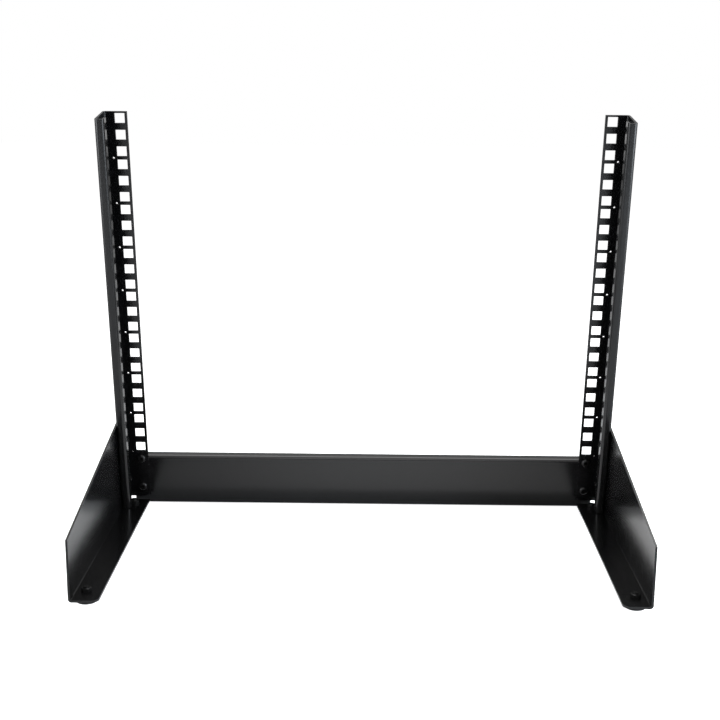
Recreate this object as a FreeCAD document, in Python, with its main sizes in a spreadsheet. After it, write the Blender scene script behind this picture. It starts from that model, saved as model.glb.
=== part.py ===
# Two post open frame rack for a desk top: eight rack units between two leaning
# posts, which stand on two side feet and are tied by one cross beam.
# Millimetres, +Z up, the feet reach forwards along -Y, the floor is at Z = 0.

import os

import FreeCAD
import Part
import Sketcher

# Driving dimensions: alias, value, what it is

DIMENSIONS = [
    ("rack_units", 8, "rack units between the posts"),
    ("unit_height", 44.45, "height of one rack unit"),
    ("hole_half_span", 232.55, "half of the 465.1 between the two hole columns"),
    ("hole_side", 9.5, "square equipment hole, for a cage nut"),
    ("first_hole", 6.35, "lowest hole above the bottom of its unit"),
    ("hole_pitch", 15.875, "hole to hole within a unit"),
    ("mark_radius", 0.95, "small round hole at the edge of each unit"),
    ("mark_half_span", 240.6, "half of the distance between the columns of marks"),
    ("sheet", 2.0, "steel sheet"),
    ("bend", 1.0, "inner radius of a bend"),
    ("post_inner", 225.4, "middle of the rack to the free edge of the hole flange"),
    ("post_outer", 248.5, "middle of the rack to the outside of a post"),
    ("post_depth", 39.0, "hole flange to the front of the post"),
    ("lip_inner", 239.5, "middle of the rack to the inner end of the front lip"),
    ("return_depth", 10.0, "edge of the lip, turned back into the post"),
    ("post_drop", 54.5, "lowest unit down to the underside of the foot"),
    ("lean", 8.4, "degrees that the posts lean forwards over the feet"),
    ("foot_reach", 267.0, "hole flange to the front of the foot"),
    ("foot_inner", 224.8, "middle of the rack to the free edge of the floor flange"),
    ("plate_front", 56.6, "height of the side plate at its front"),
    ("plate_rear", 101.9, "length of the rear edge of the side plate"),
    ("toe_radius", 7.0, "round corner of the floor flange at the front"),
    ("beam_half", 241.3, "half of the 482.6 of a rack panel"),
    ("beam_top", 5.6, "lowest unit down to the top lip of the beam"),
    ("beam_bottom", 60.8, "lowest unit down to the bottom of the beam"),
    ("beam_lip", 10.0, "lips of the beam, turned back from its face"),
    ("lip_half", 228.3, "half of the length of the lips"),
    ("tab_crown", 0.5, "lowest unit up to the top of the beam's end tabs"),
    ("screw_hole", 2.8, "radius of a hole for a structural screw"),
    ("upper_screw", 7.6, "lowest unit down to the upper beam screw"),
    ("lower_screw", 40.0, "lowest unit down to the lower beam screw"),
    ("side_screw_set", 17.5, "side screws, forwards of the hole flange"),
    ("side_screw_low", 22.7, "lowest unit down to the lower side screw"),
    ("side_screw_high", 21.9, "lowest unit up to the upper side screw"),
    ("post_clear", 0.8, "gap between the lower end of a post and the floor flange"),
    ("flange_set", 8.5, "hole flange forwards to the rear edge of the floor flange"),
    ("pad_radius", 10.0, "rubber foot at its top"),
    ("pad_taper", 0.5, "how much narrower the rubber foot is at the floor"),
    ("pad_height", 7.0, "height of a rubber foot"),
    ("pad_edge", 0.6, "bevel round its lower edge"),
    ("recess_radius", 5.2, "hollow under a rubber foot, for the screw's head"),
    ("recess_depth", 3.5, "depth of that hollow"),
    ("pad_half_span", 239.0, "half of the distance between left and right rubber feet"),
    ("front_pad", 246.5, "front rubber feet, forwards of the hole flange"),
    ("rear_pad", 20.0, "rear rubber feet, forwards of the hole flange"),
    ("stud_radius", 2.5, "screw that holds a rubber foot"),
    ("stud_end", 1.0, "end of that screw above its nut"),
    ("head_radius", 4.5, "head of that screw, up in the hollow"),
    ("head_height", 2.2, "height of that head"),
    ("nut_across", 8.0, "hexagon nut, across its flats"),
    ("nut_height", 3.6, "height of that nut"),
    ("nut_crown", 3.8, "radius of its turned upper face"),
]

SIDES = {"left": -1, "right": 1}
BEYOND = "10"
CLEAR = "1"

doc = FreeCAD.newDocument("open_frame_rack")
rack = doc.addObject("Spreadsheet::Sheet", "Rack")


def fill_sheet():
    """Give each driving dimension a row: its name, its value and its meaning."""
    for row, (alias, value, meaning) in enumerate(DIMENSIONS, start=1):
        rack.set("A%d" % row, alias)
        rack.set("B%d" % row, str(value))
        rack.set("C%d" % row, meaning)
        rack.setAlias("B%d" % row, alias)
    doc.recompute()


def number(expression):
    """What an expression on the sheet comes to now."""
    result = rack.evalExpression(expression)
    return float(getattr(result, "Value", result))


def mirrored(side, expression):
    """A distance from the middle of the rack, towards its left or right side."""
    return "%d * (%s)" % (SIDES[side], expression)


def new_body(name):
    """An empty body whose name is also its label."""
    body = doc.addObject("PartDesign::Body", name)
    body.Label = name
    return body


def new_sketch(body, name, plane, offset="0"):
    """A sketch on one of the body's own origin planes, moved along its normal."""
    sketch = body.newObject("Sketcher::SketchObject", name)
    faces = [item for item in body.Origin.OriginFeatures if item.Role == plane]
    sketch.AttachmentSupport = [(faces[0], "")]
    sketch.MapMode = "FlatFace"
    sketch.AttachmentOffset.Base = FreeCAD.Vector(0, 0, number(offset))
    sketch.setExpression("AttachmentOffset.Base.z", offset)
    return sketch


def tie(sketch, kind, geometry, point, expression):
    """Hold one coordinate of a point at an expression on the sheet."""
    rule = Sketcher.Constraint(kind, -1, 1, geometry, point, number(expression))
    index = sketch.addConstraint(rule)
    sketch.setExpression("Constraints[%d]" % index, expression)


def draw_outline(sketch, corners):
    """A closed outline with straight edges, each corner tied to the sheet."""
    places = [FreeCAD.Vector(number(x), number(y), 0) for x, y in corners]
    first = sketch.GeometryCount
    count = len(places)
    for index, place in enumerate(places):
        sketch.addGeometry(Part.LineSegment(place, places[(index + 1) % count]), False)
    for index, (x, y) in enumerate(corners):
        edge = first + index
        following = first + (index + 1) % count
        sketch.addConstraint(Sketcher.Constraint("Coincident", edge, 2, following, 1))
        tie(sketch, "DistanceX", edge, 1, x)
        tie(sketch, "DistanceY", edge, 1, y)


def draw_circle(sketch, x, y, radius):
    """A circle whose centre and radius are tied to the sheet."""
    centre = FreeCAD.Vector(number(x), number(y), 0)
    circle = Part.Circle(centre, FreeCAD.Vector(0, 0, 1), number(radius))
    geometry = sketch.addGeometry(circle, False)
    tie(sketch, "DistanceX", geometry, 3, x)
    tie(sketch, "DistanceY", geometry, 3, y)
    index = sketch.addConstraint(Sketcher.Constraint("Radius", geometry, number(radius)))
    sketch.setExpression("Constraints[%d]" % index, radius)


def draw_square(sketch, x, y, side_length):
    """A square about a centre."""
    left, right = "%s - %s / 2" % (x, side_length), "%s + %s / 2" % (x, side_length)
    low, high = "%s - %s / 2" % (y, side_length), "%s + %s / 2" % (y, side_length)
    draw_outline(sketch, [(left, low), (right, low), (right, high), (left, high)])


def pad(body, name, sketch, length, sides="One side"):
    """Extrude a sketch along its normal, or half to each side."""
    feature = body.newObject("PartDesign::Pad", name)
    feature.Profile = sketch
    feature.SideType = sides
    feature.setExpression("Length", length)
    sketch.Visibility = False
    doc.recompute()
    return feature


def pocket(body, name, sketch, length=None):
    """Cut a sketch out of the body, and stop if that took nothing away."""
    before = body.Shape.Volume
    feature = body.newObject("PartDesign::Pocket", name)
    feature.Profile = sketch
    if length is None:
        feature.Type = "ThroughAll"
        feature.SideType = "Symmetric"
    else:
        feature.setExpression("Length", length)
    sketch.Visibility = False
    doc.recompute()
    if body.Shape.Volume > before - 1:
        raise RuntimeError("%s cut nothing from %s" % (name, body.Label))
    return feature


def repeat_upwards(body, name, feature, sketch, pitch, count):
    """Repeat a cut along the sketch's vertical axis."""
    pattern = body.newObject("PartDesign::LinearPattern", name)
    pattern.Originals = [feature]
    pattern.Direction = (sketch, ["V_Axis"])
    pattern.setExpression("Length", "(%s - 1) * %s" % (count, pitch))
    pattern.setExpression("Occurrences", count)
    body.Tip = pattern
    doc.recompute()
    return pattern


def round_edges(body, name, radius, wanted):
    """Round the straight edges that a test picks out by their ends."""
    base = body.Tip
    edges = []
    for index, edge in enumerate(base.Shape.Edges, start=1):
        ends = [vertex.Point for vertex in edge.Vertexes]
        if len(ends) == 2 and wanted(ends[0], ends[1]):
            edges.append("Edge%d" % index)
    feature = body.newObject("PartDesign::Fillet", name)
    feature.Base = (base, edges)
    feature.setExpression("Radius", radius)
    doc.recompute()
    return feature


def near(value, expression):
    """Whether a measured coordinate is where an expression puts it."""
    return abs(value - number(expression)) < 0.01


def bend_at(x, y):
    """A test for the upright edges that stand at one corner of the section."""
    return lambda start, end: (near(start.x, x) and near(end.x, x)
                               and near(start.y, y) and near(end.y, y))


def any_of(tests):
    """A test that passes where one of several does."""
    return lambda start, end: any(test(start, end) for test in tests)


def make_post(side):
    """A lipped channel: hole flange at the back, web outside, front lip turned in."""
    body = new_body("%s_post" % side)
    inner = mirrored(side, "Rack.post_inner")
    outer = mirrored(side, "Rack.post_outer")
    web = mirrored(side, "Rack.post_outer - Rack.sheet")
    lip = mirrored(side, "Rack.lip_inner")
    lip_back = mirrored(side, "Rack.lip_inner + Rack.sheet")
    front = "-Rack.post_depth"
    behind_lip = "Rack.sheet - Rack.post_depth"
    return_end = "Rack.return_depth - Rack.post_depth"

    section = new_sketch(body, "%s_section" % side, "XY_Plane", "-Rack.post_drop")
    draw_outline(section, [
        (inner, "0"), (inner, "Rack.sheet"), (outer, "Rack.sheet"), (outer, front),
        (lip, front), (lip, return_end), (lip_back, return_end), (lip_back, behind_lip),
        (web, behind_lip), (web, "0")])
    pad(body, "%s_length" % side, section,
        "Rack.post_drop + Rack.rack_units * Rack.unit_height")

    outside = [(outer, "Rack.sheet"), (outer, front), (lip, front)]
    inside = [(web, "0"), (web, behind_lip), (lip_back, behind_lip)]
    round_edges(body, "%s_outer_bends" % side, "Rack.bend + Rack.sheet",
                any_of([bend_at(x, y) for x, y in outside]))
    round_edges(body, "%s_inner_bends" % side, "Rack.bend",
                any_of([bend_at(x, y) for x, y in inside]))

    foot_cut = new_sketch(body, "%s_foot_cut" % side, "YZ_Plane")
    level = "Rack.post_clear + Rack.sheet / cos(Rack.lean * 1deg) - Rack.post_drop"
    ahead = "-Rack.post_depth - %s" % BEYOND
    draw_outline(foot_cut, [
        (BEYOND, "-Rack.post_drop - %s" % BEYOND), (ahead, "-Rack.post_drop - %s" % BEYOND),
        (ahead, "%s + (Rack.post_depth + %s) * tan(Rack.lean * 1deg)" % (level, BEYOND)),
        (BEYOND, "%s - %s * tan(Rack.lean * 1deg)" % (level, BEYOND))])
    pocket(body, "%s_foot_cut_off" % side, foot_cut)

    through = "Rack.sheet + 2 * %s" % CLEAR
    column = mirrored(side, "Rack.hole_half_span")
    squares = new_sketch(body, "%s_unit_holes" % side, "XZ_Plane", CLEAR)
    for step in range(3):
        height = "(Rack.first_hole + %d * Rack.hole_pitch)" % step
        draw_square(squares, column, height, "Rack.hole_side")
    cut = pocket(body, "%s_unit_cut" % side, squares, through)
    repeat_upwards(body, "%s_units" % side, cut, squares,
                   "Rack.unit_height", "Rack.rack_units")

    marks = new_sketch(body, "%s_mark" % side, "XZ_Plane", CLEAR)
    draw_circle(marks, mirrored(side, "Rack.mark_half_span"), "0", "Rack.mark_radius")
    mark_cut = pocket(body, "%s_mark_cut" % side, marks, through)
    repeat_upwards(body, "%s_marks" % side, mark_cut, marks,
                   "Rack.unit_height", "Rack.rack_units")

    beam_holes = new_sketch(body, "%s_beam_holes" % side, "XZ_Plane", CLEAR)
    for drop in ("-Rack.upper_screw", "-Rack.lower_screw"):
        draw_circle(beam_holes, column, drop, "Rack.screw_hole")
    pocket(body, "%s_beam_hole_cut" % side, beam_holes, through)

    side_holes = new_sketch(body, "%s_side_holes" % side, "YZ_Plane")
    for height in ("-Rack.side_screw_low", "Rack.side_screw_high"):
        draw_circle(side_holes, "-Rack.side_screw_set", height, "Rack.screw_hole")
    pocket(body, "%s_side_hole_cut" % side, side_holes)
    return body


def make_beam():
    """A channel whose lips fill the gap between the posts, with a flat tab at each end."""
    body = new_body("cross_beam")
    face = "Rack.sheet"
    top = "-Rack.beam_top"
    bottom = "-Rack.beam_bottom"
    back = "Rack.sheet + Rack.beam_lip"
    section = new_sketch(body, "beam_section", "YZ_Plane")
    draw_outline(section, [
        (face, bottom), (back, bottom), (back, "Rack.sheet - Rack.beam_bottom"),
        ("2 * Rack.sheet", "Rack.sheet - Rack.beam_bottom"),
        ("2 * Rack.sheet", "-Rack.beam_top - Rack.sheet"),
        (back, "-Rack.beam_top - Rack.sheet"), (back, top), (face, top)])
    pad(body, "beam_length", section, "2 * Rack.lip_half", "Symmetric")

    def level_at(y, z):
        return lambda start, end: (near(start.y, y) and near(end.y, y)
                                   and near(start.z, z) and near(end.z, z))

    round_edges(body, "beam_outer_bends", "Rack.bend + Rack.sheet",
                any_of([level_at(face, top), level_at(face, bottom)]))
    round_edges(body, "beam_inner_bends", "Rack.bend",
                any_of([level_at("2 * Rack.sheet", "-Rack.beam_top - Rack.sheet"),
                        level_at("2 * Rack.sheet", "Rack.sheet - Rack.beam_bottom")]))

    tabs = new_sketch(body, "beam_tabs", "XZ_Plane", "-Rack.sheet")
    crown = "Rack.tab_crown"
    for side in SIDES:
        near_end = mirrored(side, "Rack.lip_half - Rack.bend / 2")
        far_end = mirrored(side, "Rack.beam_half")
        draw_outline(tabs, [
            (near_end, "Rack.bend + Rack.sheet - Rack.beam_bottom"),
            (far_end, "Rack.bend + Rack.sheet - Rack.beam_bottom"),
            (far_end, crown), (near_end, crown)])
    plates = pad(body, "beam_tab_plates", tabs, "Rack.sheet")
    plates.Reversed = True

    holes = new_sketch(body, "beam_tab_holes", "XZ_Plane", CLEAR)
    for side in SIDES:
        column = mirrored(side, "Rack.hole_half_span")
        draw_circle(holes, column, "-Rack.upper_screw", "Rack.screw_hole")
        draw_circle(holes, column, "-Rack.lower_screw", "Rack.screw_hole")
    pocket(body, "beam_tab_hole_cut", holes, "2 * Rack.sheet + 2 * %s" % CLEAR)
    return body


def make_foot(side):
    """A side plate and a floor flange bent from one sheet; the flange starts further forwards."""
    body = new_body("%s_foot" % side)
    lean = "Rack.lean * 1deg"
    rear = "Rack.sheet / cos(%s)" % lean
    rear_top = "%s - Rack.plate_rear * sin(%s)" % (rear, lean)
    side_view = new_sketch(body, "%s_side_view" % side, "YZ_Plane",
                           mirrored(side, "Rack.foot_inner"))
    draw_outline(side_view, [
        (rear, "0"), (rear_top, "Rack.plate_rear * cos(%s)" % lean),
        ("-Rack.foot_reach", "Rack.plate_front"), ("-Rack.foot_reach", "0")])
    block = pad(body, "%s_foot_block" % side, side_view,
                "Rack.post_outer + Rack.sheet - Rack.foot_inner")
    block.Reversed = side == "left"

    hollow = new_sketch(body, "%s_hollow" % side, "XZ_Plane")
    free_edge = mirrored(side, "Rack.foot_inner - %s" % BEYOND)
    plate = mirrored(side, "Rack.post_outer")
    above = "Rack.plate_rear + %s" % BEYOND
    draw_outline(hollow, [(free_edge, "Rack.sheet"), (plate, "Rack.sheet"),
                          (plate, above), (free_edge, above)])
    pocket(body, "%s_hollow_cut" % side, hollow)

    outside = mirrored(side, "Rack.post_outer + Rack.sheet")
    round_edges(body, "%s_foot_outer_bend" % side, "Rack.bend + Rack.sheet",
                lambda start, end: (near(start.x, outside) and near(end.x, outside)
                                    and near(start.z, "0") and near(end.z, "0")))
    round_edges(body, "%s_foot_inner_bend" % side, "Rack.bend",
                lambda start, end: (near(start.x, plate) and near(end.x, plate)
                                    and near(start.z, "Rack.sheet")
                                    and near(end.z, "Rack.sheet")))
    clearance = new_sketch(body, "%s_clearance" % side, "XY_Plane")
    draw_outline(clearance, [(free_edge, "-Rack.flange_set"), (plate, "-Rack.flange_set"),
                             (plate, BEYOND), (free_edge, BEYOND)])
    pocket(body, "%s_clearance_cut" % side, clearance)
    inner = mirrored(side, "Rack.foot_inner")
    round_edges(body, "%s_toe" % side, "Rack.toe_radius",
                lambda start, end: (near(start.x, inner) and near(end.x, inner)
                                    and near(start.y, "-Rack.foot_reach")
                                    and near(end.y, "-Rack.foot_reach")))

    stud_holes = new_sketch(body, "%s_stud_holes" % side, "XY_Plane")
    for place in ("-Rack.front_pad", "-Rack.rear_pad"):
        draw_circle(stud_holes, mirrored(side, "Rack.pad_half_span"), place,
                    "Rack.stud_radius")
    pocket(body, "%s_stud_hole_cut" % side, stud_holes)

    side_holes = new_sketch(body, "%s_foot_side_holes" % side, "YZ_Plane")
    for height in ("(Rack.post_drop - Rack.side_screw_low)",
                   "(Rack.post_drop + Rack.side_screw_high)"):
        along = "-Rack.side_screw_set * cos(%s) - %s * sin(%s)" % (lean, height, lean)
        up = "%s * cos(%s) - Rack.side_screw_set * sin(%s)" % (height, lean, lean)
        draw_circle(side_holes, along, up, "Rack.screw_hole")
    pocket(body, "%s_foot_side_hole_cut" % side, side_holes)
    return body


def revolved_body(name, outline):
    """A round piece, from the half outline on one side of its upright axis."""
    body = new_body(name)
    sketch = new_sketch(body, "%s_half" % name, "XZ_Plane")
    draw_outline(sketch, outline)
    feature = body.newObject("PartDesign::Revolution", "%s_turn" % name)
    feature.Profile = sketch
    feature.ReferenceAxis = (sketch, ["V_Axis"])
    feature.Angle = 360
    sketch.Visibility = False
    doc.recompute()
    return body


def make_rubber_foot(name):
    """A tapered rubber foot with a hollow for the screw's head under it."""
    low_radius = "Rack.pad_radius - Rack.pad_taper"
    return revolved_body(name, [
        ("Rack.stud_radius", "0"), ("Rack.pad_radius", "0"),
        (low_radius, "Rack.pad_edge - Rack.pad_height"),
        ("%s - Rack.pad_edge" % low_radius, "-Rack.pad_height"),
        ("Rack.recess_radius", "-Rack.pad_height"),
        ("Rack.recess_radius", "Rack.recess_depth - Rack.pad_height"),
        ("Rack.stud_radius", "Rack.recess_depth - Rack.pad_height")])


def make_foot_screw(name):
    """The screw of a rubber foot, from its head in the hollow to its end at the nut."""
    seat = "Rack.recess_depth - Rack.pad_height"
    end = "Rack.sheet + Rack.nut_height + Rack.stud_end"
    return revolved_body(name, [
        ("0", "%s - Rack.head_height" % seat), ("Rack.head_radius", "%s - Rack.head_height" % seat),
        ("Rack.head_radius", seat), ("Rack.stud_radius", seat),
        ("Rack.stud_radius", end), ("0", end)])


def make_foot_nut(name):
    """A hexagon nut on the floor flange, its upper corners turned off by a cone."""
    prism = doc.addObject("Part::Prism", "%s_hexagon" % name)
    prism.Polygon = 6
    prism.setExpression("Circumradius", "Rack.nut_across / 2 / cos(30deg)")
    prism.setExpression("Height", "Rack.nut_height")
    cone = doc.addObject("Part::Cone", "%s_cone" % name)
    cone.setExpression("Radius2", "Rack.nut_crown")
    cone.setExpression("Radius1", "Rack.nut_crown + Rack.nut_height * tan(60deg)")
    cone.setExpression("Height", "Rack.nut_height")
    turned = doc.addObject("Part::Common", "%s_turned" % name)
    turned.Base = prism
    turned.Tool = cone
    bore = doc.addObject("Part::Cylinder", "%s_bore" % name)
    bore.setExpression("Radius", "Rack.stud_radius")
    bore.setExpression("Height", "Rack.nut_height")
    nut = doc.addObject("Part::Cut", name)
    nut.Base = turned
    nut.Tool = bore
    nut.Label = name
    doc.recompute()
    return nut


def stand_on_floor(leaning, level):
    """Lean the posts and beam, set all on the floor and centre it front to back."""
    lean = number("Rack.lean")
    drop = number("Rack.post_drop")
    lift = number("Rack.pad_height")
    turn = FreeCAD.Rotation(FreeCAD.Vector(1, 0, 0), lean)
    foot_line = turn.multVec(FreeCAD.Vector(0, 0, -drop))
    for body in leaning:
        body.Placement = FreeCAD.Placement(FreeCAD.Vector(0, 0, lift) - foot_line, turn)
    for body, place in level:
        body.Placement = FreeCAD.Placement(place + FreeCAD.Vector(0, 0, lift),
                                           FreeCAD.Rotation())
    doc.recompute()
    everything = leaning + [body for body, place in level]
    reach = FreeCAD.BoundBox()
    for body in everything:
        reach.add(body.Shape.BoundBox)
    shift = FreeCAD.Vector(0, -(reach.YMin + reach.YMax) / 2, 0)
    for body in everything:
        body.Placement = FreeCAD.Placement(body.Placement.Base + shift,
                                           body.Placement.Rotation)
    doc.recompute()


def check_document(bodies):
    """Stop on any object that failed, or any solid that is not whole."""
    for item in doc.Objects:
        if "Invalid" in item.State or "Error" in item.State:
            raise RuntimeError("%s failed: %s" % (item.Label, item.State))
    for body in bodies:
        shape = body.Shape
        if shape.isNull() or not shape.isValid() or len(shape.Solids) != 1:
            raise RuntimeError("%s is not one whole solid" % body.Label)


def main():
    fill_sheet()
    leaning = [make_post(side) for side in SIDES]
    leaning.append(make_beam())
    origin = FreeCAD.Vector(0, 0, 0)
    level = [(make_foot(side), origin) for side in SIDES]
    places = {"front": -number("Rack.front_pad"), "rear": -number("Rack.rear_pad")}
    for side, sign in SIDES.items():
        for end, along in places.items():
            place = FreeCAD.Vector(sign * number("Rack.pad_half_span"), along, 0)
            on_top = place + FreeCAD.Vector(0, 0, number("Rack.sheet"))
            level.append((make_rubber_foot("%s_%s_rubber_foot" % (end, side)), place))
            level.append((make_foot_screw("%s_%s_foot_screw" % (end, side)), place))
            level.append((make_foot_nut("%s_%s_foot_nut" % (end, side)), on_top))
    stand_on_floor(leaning, level)
    bodies = leaning + [body for body, place in level]
    check_document(bodies)
    os.makedirs("parts", exist_ok=True)
    for body in bodies:
        body.Shape.exportStep(os.path.join("parts", "%s.step" % body.Label))
        box = body.Shape.BoundBox
        print("%-26s volume %9.0f  x %7.1f %7.1f  y %7.1f %7.1f  z %6.1f %6.1f" % (
            body.Label, body.Shape.Volume, box.XMin, box.XMax,
            box.YMin, box.YMax, box.ZMin, box.ZMax))


main()
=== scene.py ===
# %% [markdown]
# A desk top rack of bent steel sheet, in black powder coat. Two posts carry square holes for
# cage nuts and lean forwards over two side feet, and one cross beam ties them. The sheet parts,
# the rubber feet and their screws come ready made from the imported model. This lesson lights
# them, gives each a finish, and adds the eight screws and nuts that hold the frame together.

# %% Load the frame
import math

import bpy
from mathutils import Matrix, Quaternion, Vector


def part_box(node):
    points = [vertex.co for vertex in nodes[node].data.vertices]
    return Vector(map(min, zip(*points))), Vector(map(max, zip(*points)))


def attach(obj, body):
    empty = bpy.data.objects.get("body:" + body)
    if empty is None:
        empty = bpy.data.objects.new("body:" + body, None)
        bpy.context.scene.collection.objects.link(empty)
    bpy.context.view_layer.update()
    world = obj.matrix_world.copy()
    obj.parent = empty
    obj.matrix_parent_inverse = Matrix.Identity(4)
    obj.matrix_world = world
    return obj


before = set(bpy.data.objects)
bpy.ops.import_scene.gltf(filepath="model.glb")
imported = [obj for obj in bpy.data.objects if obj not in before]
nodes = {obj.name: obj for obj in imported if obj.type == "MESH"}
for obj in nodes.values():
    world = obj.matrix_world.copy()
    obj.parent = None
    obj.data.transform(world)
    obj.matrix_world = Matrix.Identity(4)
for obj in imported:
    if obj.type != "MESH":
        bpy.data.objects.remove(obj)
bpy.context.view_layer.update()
MM = 0.001
SIDES = {"left": -1, "right": 1}


def deselect_all():
    """Leave nothing selected, so that an operator works on the new piece alone."""
    if bpy.context.mode != "OBJECT":
        bpy.ops.object.mode_set(mode="OBJECT")
    bpy.ops.object.select_all(action="DESELECT")


deselect_all()

# %% [markdown]
# The camera stands a little right of the middle, about 1.2 m in front of the rack, and looks
# down by 13 degrees. The focal length is given in pixels of a 720 pixel frame, as a photograph
# measures it, and turned into millimetres on the sensor.

# %% Camera
FRAME_PIXELS = 720
FOCAL_PIXELS = 1261.8
CAMERA_PLACE = Vector((7.2, -1141.6, 460.0)) * MM
LOOK_DOWN = math.radians(13.302)
TURN_RIGHT = math.radians(-0.516)
ROLL = math.radians(0.441)

aim = Vector((math.sin(TURN_RIGHT) * math.cos(LOOK_DOWN),
              math.cos(TURN_RIGHT) * math.cos(LOOK_DOWN), -math.sin(LOOK_DOWN)))
camera_data = bpy.data.cameras.new("camera")
camera_data.sensor_width = 36
camera_data.lens = camera_data.sensor_width * FOCAL_PIXELS / FRAME_PIXELS
camera = bpy.data.objects.new("camera", camera_data)
camera.location = CAMERA_PLACE
camera.rotation_euler = (aim.to_track_quat("-Z", "Y") @ Quaternion((0, 0, 1), ROLL)).to_euler()
bpy.context.scene.collection.objects.link(camera)
bpy.context.scene.camera = camera
bpy.context.scene.view_settings.view_transform = "Standard"
print("lens %.1f mm" % camera_data.lens)

# %% [markdown]
# A black, half gloss coat shows its surroundings more than its own colour, so the studio is
# half of the finish. Behind the rack the backdrop is white near the horizon, with a dim band
# above it and a lighter part higher up. In front the room is an even light grey, and overhead
# is a white ceiling. These show in reflections alone: the camera sees plain white, and matt
# surfaces get an even dark grey light from the sky. The floor is white to the camera too, but in
# reflections it is mostly the paper that the lamps light, so that the shade between the feet and
# under the beam shows there.

# %% Studio
SKY_GREY = 0.15
ROOM_GREY = 0.9
ROOM_FADE = (-0.3, 0.1)
CEILING_GREY = 1.6
CEILING_FADE = (0.5, 0.7)
SKY_BANDS = ((0.25, 1.0), (0.32, 0.15), (0.44, 0.15), (0.54, 0.55), (0.8, 0.4))
FLOOR_WHITE = 0.85
FLOOR_ROUGHNESS = 0.9
FLOOR_GLOW = 0.9
GLOSS_SHARE = 0.02
FLOOR_SIZE = 12.0


def new_node(tree, kind, **values):
    """A node of a kind, with some of its input sockets set by name."""
    node = tree.nodes.new(kind)
    for label, value in values.items():
        node.inputs[label.replace("_", " ")].default_value = value
    return node


def arithmetic(tree, operation, first, second):
    """A Math node: each operand is a number or another node's output."""
    node = tree.nodes.new("ShaderNodeMath")
    node.operation = operation
    for socket, operand in zip(node.inputs, (first, second)):
        if isinstance(operand, (int, float)):
            socket.default_value = operand
        else:
            tree.links.new(operand, socket)
    return node.outputs[0]


world = bpy.data.worlds.new("studio")
bpy.context.scene.world = world
world.use_nodes = True
tree = world.node_tree
sky = tree.nodes["Background"]
sky.inputs["Color"].default_value = (1, 1, 1, 1)
path = tree.nodes.new("ShaderNodeLightPath")
seen = arithmetic(tree, "MAXIMUM", path.outputs["Is Camera Ray"],
                  arithmetic(tree, "MAXIMUM", path.outputs["Is Glossy Ray"],
                             path.outputs["Is Transmission Ray"]))
direction = tree.nodes.new("ShaderNodeTexCoord")
heading = tree.nodes.new("ShaderNodeSeparateXYZ")
tree.links.new(direction.outputs["Generated"], heading.inputs[0])
backdrop = tree.nodes.new("ShaderNodeValToRGB")
for stop, (elevation, grey) in enumerate(SKY_BANDS):
    if stop > 1:
        backdrop.color_ramp.elements.new(elevation)
    band = backdrop.color_ramp.elements[stop]
    band.position, band.color = elevation, (grey, grey, grey, 1)
tree.links.new(heading.outputs["Z"], backdrop.inputs["Fac"])
room = new_node(tree, "ShaderNodeMapRange", From_Min=ROOM_FADE[0], From_Max=ROOM_FADE[1],
                To_Min=ROOM_GREY)
tree.links.new(heading.outputs["Y"], room.inputs["Value"])
tree.links.new(backdrop.outputs["Color"], room.inputs["To Max"])
ceiling = new_node(tree, "ShaderNodeMapRange", From_Min=CEILING_FADE[0],
                   From_Max=CEILING_FADE[1], To_Max=CEILING_GREY)
tree.links.new(heading.outputs["Z"], ceiling.inputs["Value"])
lit = arithmetic(tree, "MAXIMUM", room.outputs["Result"], ceiling.outputs["Result"])
shown = arithmetic(tree, "MAXIMUM", lit, path.outputs["Is Camera Ray"])
brightness = new_node(tree, "ShaderNodeMapRange", To_Min=SKY_GREY)
tree.links.new(seen, brightness.inputs["Value"])
tree.links.new(shown, brightness.inputs["To Max"])
tree.links.new(brightness.outputs["Result"], sky.inputs["Strength"])

bpy.ops.mesh.primitive_plane_add(size=FLOOR_SIZE)
floor = bpy.context.object
floor.name = "studio_floor"
paper = bpy.data.materials.new("white_paper")
paper.use_nodes = True
tree = paper.node_tree
surface = tree.nodes["Principled BSDF"]
surface.inputs["Base Color"].default_value = (FLOOR_WHITE, FLOOR_WHITE, FLOOR_WHITE, 1)
surface.inputs["Roughness"].default_value = FLOOR_ROUGHNESS
surface.inputs["Specular IOR Level"].default_value = 0.0
surface.inputs["Emission Color"].default_value = (1, 1, 1, 1)
path = tree.nodes.new("ShaderNodeLightPath")
mirrored = arithmetic(tree, "MULTIPLY", GLOSS_SHARE,
                      arithmetic(tree, "MAXIMUM", path.outputs["Is Glossy Ray"],
                                 path.outputs["Is Transmission Ray"]))
glow = arithmetic(tree, "MULTIPLY", FLOOR_GLOW,
                  arithmetic(tree, "MAXIMUM", path.outputs["Is Camera Ray"], mirrored))
tree.links.new(glow, surface.inputs["Emission Strength"])
floor.data.materials.append(paper)
deselect_all()

# %% [markdown]
# A large softbox hangs above and behind the rack, so the paper just in front of the beam lies
# in its shade, and that shade shows in the beam. Two low softboxes at the sides draw a light
# line down the outer bend of each post. The softbox in front shows in reflections alone, on the
# domes of the screws and along the bends. A spot lamp adds a pool of light on the paper between
# the feet, which shows as the light middle of the beam. It is hidden from reflections, because
# it would make a bright dot on the bend of the beam.

# %% Lamps
RACK_MIDDLE = (0, 0, 0.2)


def lamp(name, kind, place, target, power, colour=(1, 1, 1)):
    """A lamp of a kind, at a place and turned to face a target."""
    data = bpy.data.lights.new(name, kind)
    data.energy = power
    data.color = colour
    piece = bpy.data.objects.new(name, data)
    piece.location = place
    piece.rotation_euler = (Vector(target) - Vector(place)).to_track_quat("-Z", "Y").to_euler()
    bpy.context.scene.collection.objects.link(piece)
    return piece


def softbox(name, place, size, power, colour=(1, 1, 1)):
    """A square lamp with an edge length, turned to face the middle of the rack."""
    piece = lamp(name, "AREA", place, RACK_MIDDLE, power, colour)
    piece.data.size = size
    return piece


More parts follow.
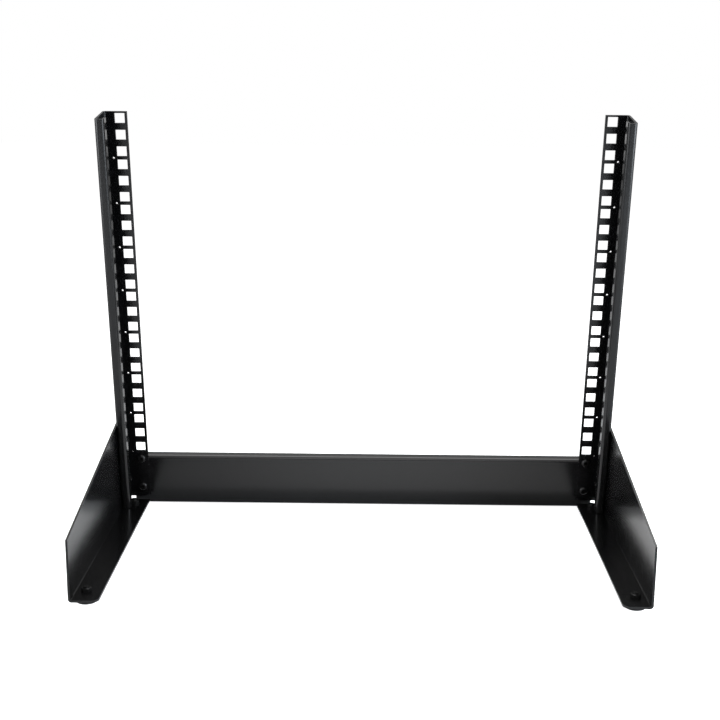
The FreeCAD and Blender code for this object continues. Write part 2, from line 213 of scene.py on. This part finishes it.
softbox("overhead", (0.2, 0.8, 1.9), size=2.0, power=28)
softbox("left_low", (-1.25, -0.75, 0.42), size=1.0, power=24, colour=(0.94, 0.97, 1))
softbox("right_low", (1.25, -0.75, 0.42), size=1.05, power=40, colour=(0.86, 0.93, 1))
front = softbox("front", (0, -1.5, 0.95), size=0.7, power=4)
front.visible_diffuse = False
pool = lamp("pool", "SPOT", (0.05, 0.75, 1.8), (0.05, 0.05, 0), power=150)
pool.data.spot_size = math.radians(19)
pool.data.spot_blend = 1.0
pool.data.shadow_soft_size = 0.15
pool.visible_glossy = False

# %% [markdown]
# Powder coat is sprayed dry and melted on, so it dries with a faint orange peel: shallow waves
# about a millimetre across, and fine grain on top. Rubber and blackened steel have grain too,
# at other sizes. One node group makes it for all of them: it gives a height for the bump and a
# slow mottle for colour and gloss.

# %% Surface grain group
GRAIN_INPUTS = ("Waves per metre", "Grain per metre", "Grain share")
CLOUDS_PER_METRE = 28


def new_group(name, inputs, outputs):
    """A shader node group with number sockets, and its two end nodes."""
    group = bpy.data.node_groups.new(name, "ShaderNodeTree")
    for label in inputs:
        group.interface.new_socket(label, in_out="INPUT", socket_type="NodeSocketFloat")
    for label in outputs:
        group.interface.new_socket(label, in_out="OUTPUT", socket_type="NodeSocketFloat")
    return group, group.nodes.new("NodeGroupInput"), group.nodes.new("NodeGroupOutput")


grain, grain_in, grain_out = new_group("surface_grain", GRAIN_INPUTS, ["Height", "Mottle"])
place = grain.nodes.new("ShaderNodeTexCoord")


def noise(tree, scale_socket, detail):
    """Noise on Object coordinates whose scale comes from a socket."""
    texture = tree.nodes.new("ShaderNodeTexNoise")
    texture.inputs["Detail"].default_value = detail
    tree.links.new(place.outputs["Object"], texture.inputs["Vector"])
    tree.links.new(scale_socket, texture.inputs["Scale"])
    return texture.outputs["Fac"]


waves = noise(grain, grain_in.outputs["Waves per metre"], detail=1)
fine = noise(grain, grain_in.outputs["Grain per metre"], detail=2)
both = grain.nodes.new("ShaderNodeMix")
grain.links.new(grain_in.outputs["Grain share"], both.inputs["Factor"])
grain.links.new(waves, both.inputs["A"])
grain.links.new(fine, both.inputs["B"])
grain.links.new(both.outputs["Result"], grain_out.inputs["Height"])
cloud = grain.nodes.new("ShaderNodeTexNoise")
cloud.inputs["Scale"].default_value = CLOUDS_PER_METRE
cloud.inputs["Detail"].default_value = 3
grain.links.new(place.outputs["Object"], cloud.inputs["Vector"])
grain.links.new(cloud.outputs["Fac"], grain_out.inputs["Mottle"])

# %% [markdown]
# Each finish is a Principled shader of its own with the grain group in it. Colour and gloss
# each run between two values as the mottle goes from low to high, and the height feeds a bump.

# %% Finishes


def finish(name, colours, gloss, bump, sizes, specular):
    """A finish whose colour and roughness drift between two values each, with fine bump."""
    material = bpy.data.materials.new(name)
    material.use_nodes = True
    tree = material.node_tree
    shader = tree.nodes["Principled BSDF"]
    shader.inputs["Specular IOR Level"].default_value = specular
    texture = tree.nodes.new("ShaderNodeGroup")
    texture.node_tree = grain
    for label, value in zip(GRAIN_INPUTS, sizes):
        texture.inputs[label].default_value = value
    tint = tree.nodes.new("ShaderNodeMix")
    tint.data_type = "RGBA"
    tint.inputs["A"].default_value = (*colours[0], 1)
    tint.inputs["B"].default_value = (*colours[1], 1)
    tree.links.new(texture.outputs["Mottle"], tint.inputs["Factor"])
    tree.links.new(tint.outputs["Result"], shader.inputs["Base Color"])
    polish = tree.nodes.new("ShaderNodeMapRange")
    polish.inputs["To Min"].default_value, polish.inputs["To Max"].default_value = gloss
    tree.links.new(texture.outputs["Mottle"], polish.inputs["Value"])
    tree.links.new(polish.outputs["Result"], shader.inputs["Roughness"])
    relief = tree.nodes.new("ShaderNodeBump")
    relief.inputs["Distance"].default_value = bump
    tree.links.new(texture.outputs["Height"], relief.inputs["Height"])
    tree.links.new(relief.outputs["Normal"], shader.inputs["Normal"])
    return material


powder_coat = finish("black_powder_coat",
                     colours=((0.0015, 0.0015, 0.0017), (0.0025, 0.0025, 0.0028)),
                     gloss=(0.17, 0.23), bump=0.0000022, sizes=(700, 3500, 0.2), specular=0.37)
rubber = finish("black_rubber", colours=((0.008, 0.008, 0.008), (0.012, 0.012, 0.012)),
                gloss=(0.5, 0.65), bump=0.00002, sizes=(1500, 6000, 0.5), specular=0.3)
blackened_steel = finish("blackened_steel",
                         colours=((0.003, 0.003, 0.003), (0.005, 0.005, 0.005)),
                         gloss=(0.22, 0.3), bump=0.000008, sizes=(1200, 5000, 0.4),
                         specular=0.25)

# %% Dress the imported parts
FINISH_OF = {"post": powder_coat, "beam": powder_coat, "rubber_foot": rubber,
             "foot_screw": blackened_steel, "foot_nut": blackened_steel, "foot": powder_coat}


def finish_for(name):
    """The finish whose key ends the node's name; the longest key wins."""
    return FINISH_OF[max((key for key in FINISH_OF if name.endswith(key)), key=len)]


for name, node in nodes.items():
    node.data.materials.clear()
    node.data.materials.append(finish_for(name))
print("dressed", len(nodes), "parts")

# %% [markdown]
# The posts lean forwards, so the screws lean with them. Every screw is stated in the frame of
# the posts, in millimetres. Its origin is on the front face of the hole flanges, in the middle of
# the rack, at the lower end of the lowest unit. It is found from a rubber foot of the packed
# model. The middle of that foot stands 246.5 mm in front of the hole flanges, its top touches the
# underside of the floor flange, and the lowest unit starts 54.5 mm up the post from there.

# %% Frame of the posts
LEAN = math.radians(8.4)
POST_DROP = 54.5
FRONT_PAD_SET = 246.5
pad_low, pad_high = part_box("front_left_rubber_foot")
flange_line = (pad_low[1] + pad_high[1]) / 2 + FRONT_PAD_SET * MM
post_frame = (Matrix.Translation((0, flange_line, pad_high[2])) @ Matrix.Rotation(LEAN, 4, "X")
              @ Matrix.Translation((0, 0, POST_DROP * MM)))
print("hole flange at y %.1f mm on the floor flange" % (flange_line / MM))


def in_posts(x, y, z, outwards):
    """A place in the frame of the posts, turned so that its own Z axis points outwards."""
    turn = Vector(outwards).to_track_quat("Z", "Y").to_matrix().to_4x4()
    return post_frame @ Matrix.Translation(Vector((x, y, z)) * MM) @ turn


# %% [markdown]
# A round piece is turned, as on a lathe: one vertex is extruded step by step along half of the
# outline, and the spin operator carries that line once round the axis. A stack of cylinders
# would leave hidden faces inside, and this gives one closed skin. The thread is cut as rings,
# because only the last two turns show behind a nut and a true helix would look the same.

# %% Turning helper


def turned(name, outline, steps=36):
    """Turn half an outline of (radius, height) pairs in millimetres into a round piece."""
    bpy.ops.mesh.primitive_plane_add(size=MM)
    piece = bpy.context.object
    piece.name = name
    bpy.ops.object.mode_set(mode="EDIT")
    bpy.ops.mesh.merge(type="CENTER")
    at = (0, 0)
    for index, (radius, height) in enumerate(outline):
        step = ((radius - at[0]) * MM, 0, (height - at[1]) * MM)
        if index == 0:
            bpy.ops.transform.translate(value=step)
        else:
            bpy.ops.mesh.extrude_region_move(TRANSFORM_OT_translate={"value": step})
        at = (radius, height)
    bpy.ops.mesh.select_all(action="SELECT")
    bpy.ops.mesh.spin(steps=steps, angle=2 * math.pi, center=(0, 0, 0), axis=(0, 0, 1))
    bpy.ops.mesh.remove_doubles(threshold=0.01 * MM)
    bpy.ops.mesh.normals_make_consistent(inside=False)
    bpy.ops.object.mode_set(mode="OBJECT")
    return piece


def take(piece):
    """Select a piece alone and make it the active one."""
    deselect_all()
    piece.select_set(True)
    bpy.context.view_layer.objects.active = piece


def cut_with(piece, tool, operation):
    """Apply a Boolean of one piece with another, and throw the tool away."""
    take(piece)
    modifier = piece.modifiers.new("cut", "BOOLEAN")
    modifier.operation = operation
    modifier.object = tool
    bpy.ops.object.modifier_apply(modifier=modifier.name)
    bpy.data.objects.remove(tool)


def hexagon(name, across, low, high):
    """An upright hexagonal bar between two heights, by its width across flats."""
    bpy.ops.mesh.primitive_cylinder_add(vertices=6, radius=across / 2 / math.cos(math.pi / 6) * MM,
                                        depth=(high - low) * MM,
                                        location=(0, 0, (low + high) / 2 * MM))
    bar = bpy.context.object
    bar.name = name
    bpy.ops.object.transform_apply(location=True, rotation=True, scale=True)
    return bar


def soften(piece, width):
    """Round the sharp edges by a small bevel."""
    take(piece)
    modifier = piece.modifiers.new("soft_edges", "BEVEL")
    modifier.width = width * MM
    modifier.segments = 2
    modifier.limit_method = "ANGLE"
    modifier.angle_limit = math.radians(40)
    bpy.ops.object.modifier_apply(modifier=modifier.name)


def smooth(piece):
    """Shade a piece smooth, apart from its sharp edges."""
    take(piece)
    bpy.ops.object.shade_smooth_by_angle(angle=math.radians(35))


# %% [markdown]
# The frame is held by eight M5 button head screws with a hexagon socket, the kind that comes
# with an assembly kit, and plain nuts. The dome is part of an ellipse, and the socket is cut
# out of it with a hexagonal bar. One screw is modelled and copied to each place.

# %% Button head screw
HEAD_RADIUS = 4.5
HEAD_HEIGHT = 2.5
RIM_HEIGHT = 0.5
RIM_UNDERCUT = 0.3
DOME_FLAT = 2.1
DOME_STEPS = 8
SHANK_RADIUS = 2.45
CORE_RADIUS = 2.05
PITCH = 0.8
SOCKET_ACROSS = 3.0
SOCKET_DEPTH = 1.6
SCREW_LENGTH = 10
TIP_CHAMFER = 0.5


def screw_outline(length):
    """Half the outline of a screw: flat top, dome, underside, thread rings and end."""
    dome = []
    for step in range(DOME_STEPS + 1):
        turn = math.pi / 2 * step / DOME_STEPS
        dome.append((DOME_FLAT + (HEAD_RADIUS - DOME_FLAT) * math.sin(turn),
                     RIM_HEIGHT + (HEAD_HEIGHT - RIM_HEIGHT) * math.cos(turn)))
    rings = []
    for ring in range(int(length / PITCH) - 1):
        rings += [(SHANK_RADIUS, -PITCH * (ring + 0.25)), (CORE_RADIUS, -PITCH * (ring + 0.75))]
    return ([(0, HEAD_HEIGHT)] + dome + [(HEAD_RADIUS - RIM_UNDERCUT, 0), (SHANK_RADIUS, 0)]
            + rings + [(CORE_RADIUS, -length + TIP_CHAMFER),
                       (CORE_RADIUS - TIP_CHAMFER, -length), (0, -length)])


def button_screw(name, length):
    """A button head screw along Z, the underside of its head at the origin."""
    screw = turned(name, screw_outline(length))
    cut_with(screw, hexagon("socket_bar", SOCKET_ACROSS, HEAD_HEIGHT - SOCKET_DEPTH,
                            HEAD_HEIGHT + 1), "DIFFERENCE")
    smooth(screw)
    return screw


screw_model = button_screw("screw_model", SCREW_LENGTH)
print("screw:", len(screw_model.data.polygons), "faces")

# %% [markdown]
# A nut is a hexagonal bar whose corners are turned off at both ends. The bar is crossed with a
# turned double cone, which leaves the curved edge that a real nut has, and then bored.

# %% Hexagon nut
NUT_ACROSS = 8.0
NUT_HEIGHT = 4.0
NUT_FACE = 3.8
NUT_BORE = SHANK_RADIUS + 0.05
NUT_EDGE = 0.12


def hexagon_nut(name):
    """A nut along Z, one face at the origin, with a bore that clears the screw."""
    nut = hexagon(name, NUT_ACROSS, 0, NUT_HEIGHT)
    swell = NUT_HEIGHT / 2 * math.tan(math.pi / 3)
    cones = turned("corner_cones", [(0, 0), (NUT_FACE, 0), (NUT_FACE + swell, NUT_HEIGHT / 2),
                                    (NUT_FACE, NUT_HEIGHT), (0, NUT_HEIGHT)], steps=48)
    cut_with(nut, cones, "INTERSECT")
    bore = turned("bore", [(0, -1), (NUT_BORE, -1), (NUT_BORE, NUT_HEIGHT + 1),
                           (0, NUT_HEIGHT + 1)])
    cut_with(nut, bore, "DIFFERENCE")
    soften(nut, NUT_EDGE)
    smooth(nut)
    return nut


nut_model = hexagon_nut("nut_model")
print("nut:", len(nut_model.data.polygons), "faces")

# %% [markdown]
# Two screws join each post to an end tab of the beam, heads to the front and nuts behind. Two
# more go through each side plate into the web of the post, heads outside and nuts within.

# %% Fit the screws and nuts
HOLE_HALF_SPAN = 232.55
TAB_BACK = 4
BEAM_SCREW_HEIGHTS = {"upper": -7.6, "lower": -40.0}
PLATE_OUTSIDE = 250.5
WEB_INSIDE = 246.5
SIDE_SCREW_SET = -17.5
SIDE_SCREW_HEIGHTS = {"upper": 21.9, "lower": -22.7}


def fit(model, name, place):
    """Copy a model, set the copy in its place and let it move with the frame."""
    take(model)
    bpy.ops.object.duplicate(linked=False)
    piece = bpy.context.object
    piece.name = name
    piece.matrix_world = place
    bpy.ops.object.transform_apply(location=True, rotation=True, scale=True)
    piece.data.materials.append(blackened_steel)
    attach(piece, "root")


for side, sign in SIDES.items():
    for level, z in BEAM_SCREW_HEIGHTS.items():
        x = sign * HOLE_HALF_SPAN
        fit(screw_model, "%s_%s_beam_screw" % (level, side), in_posts(x, 0, z, (0, -1, 0)))
        fit(nut_model, "%s_%s_beam_nut" % (level, side), in_posts(x, TAB_BACK, z, (0, 1, 0)))
    for level, z in SIDE_SCREW_HEIGHTS.items():
        fit(screw_model, "%s_%s_side_screw" % (level, side),
            in_posts(sign * PLATE_OUTSIDE, SIDE_SCREW_SET, z, (sign, 0, 0)))
        fit(nut_model, "%s_%s_side_nut" % (level, side),
            in_posts(sign * WEB_INSIDE, SIDE_SCREW_SET, z, (-sign, 0, 0)))
for model in (screw_model, nut_model):
    bpy.data.objects.remove(model)
deselect_all()
print("fitted 8 screws and 8 nuts")
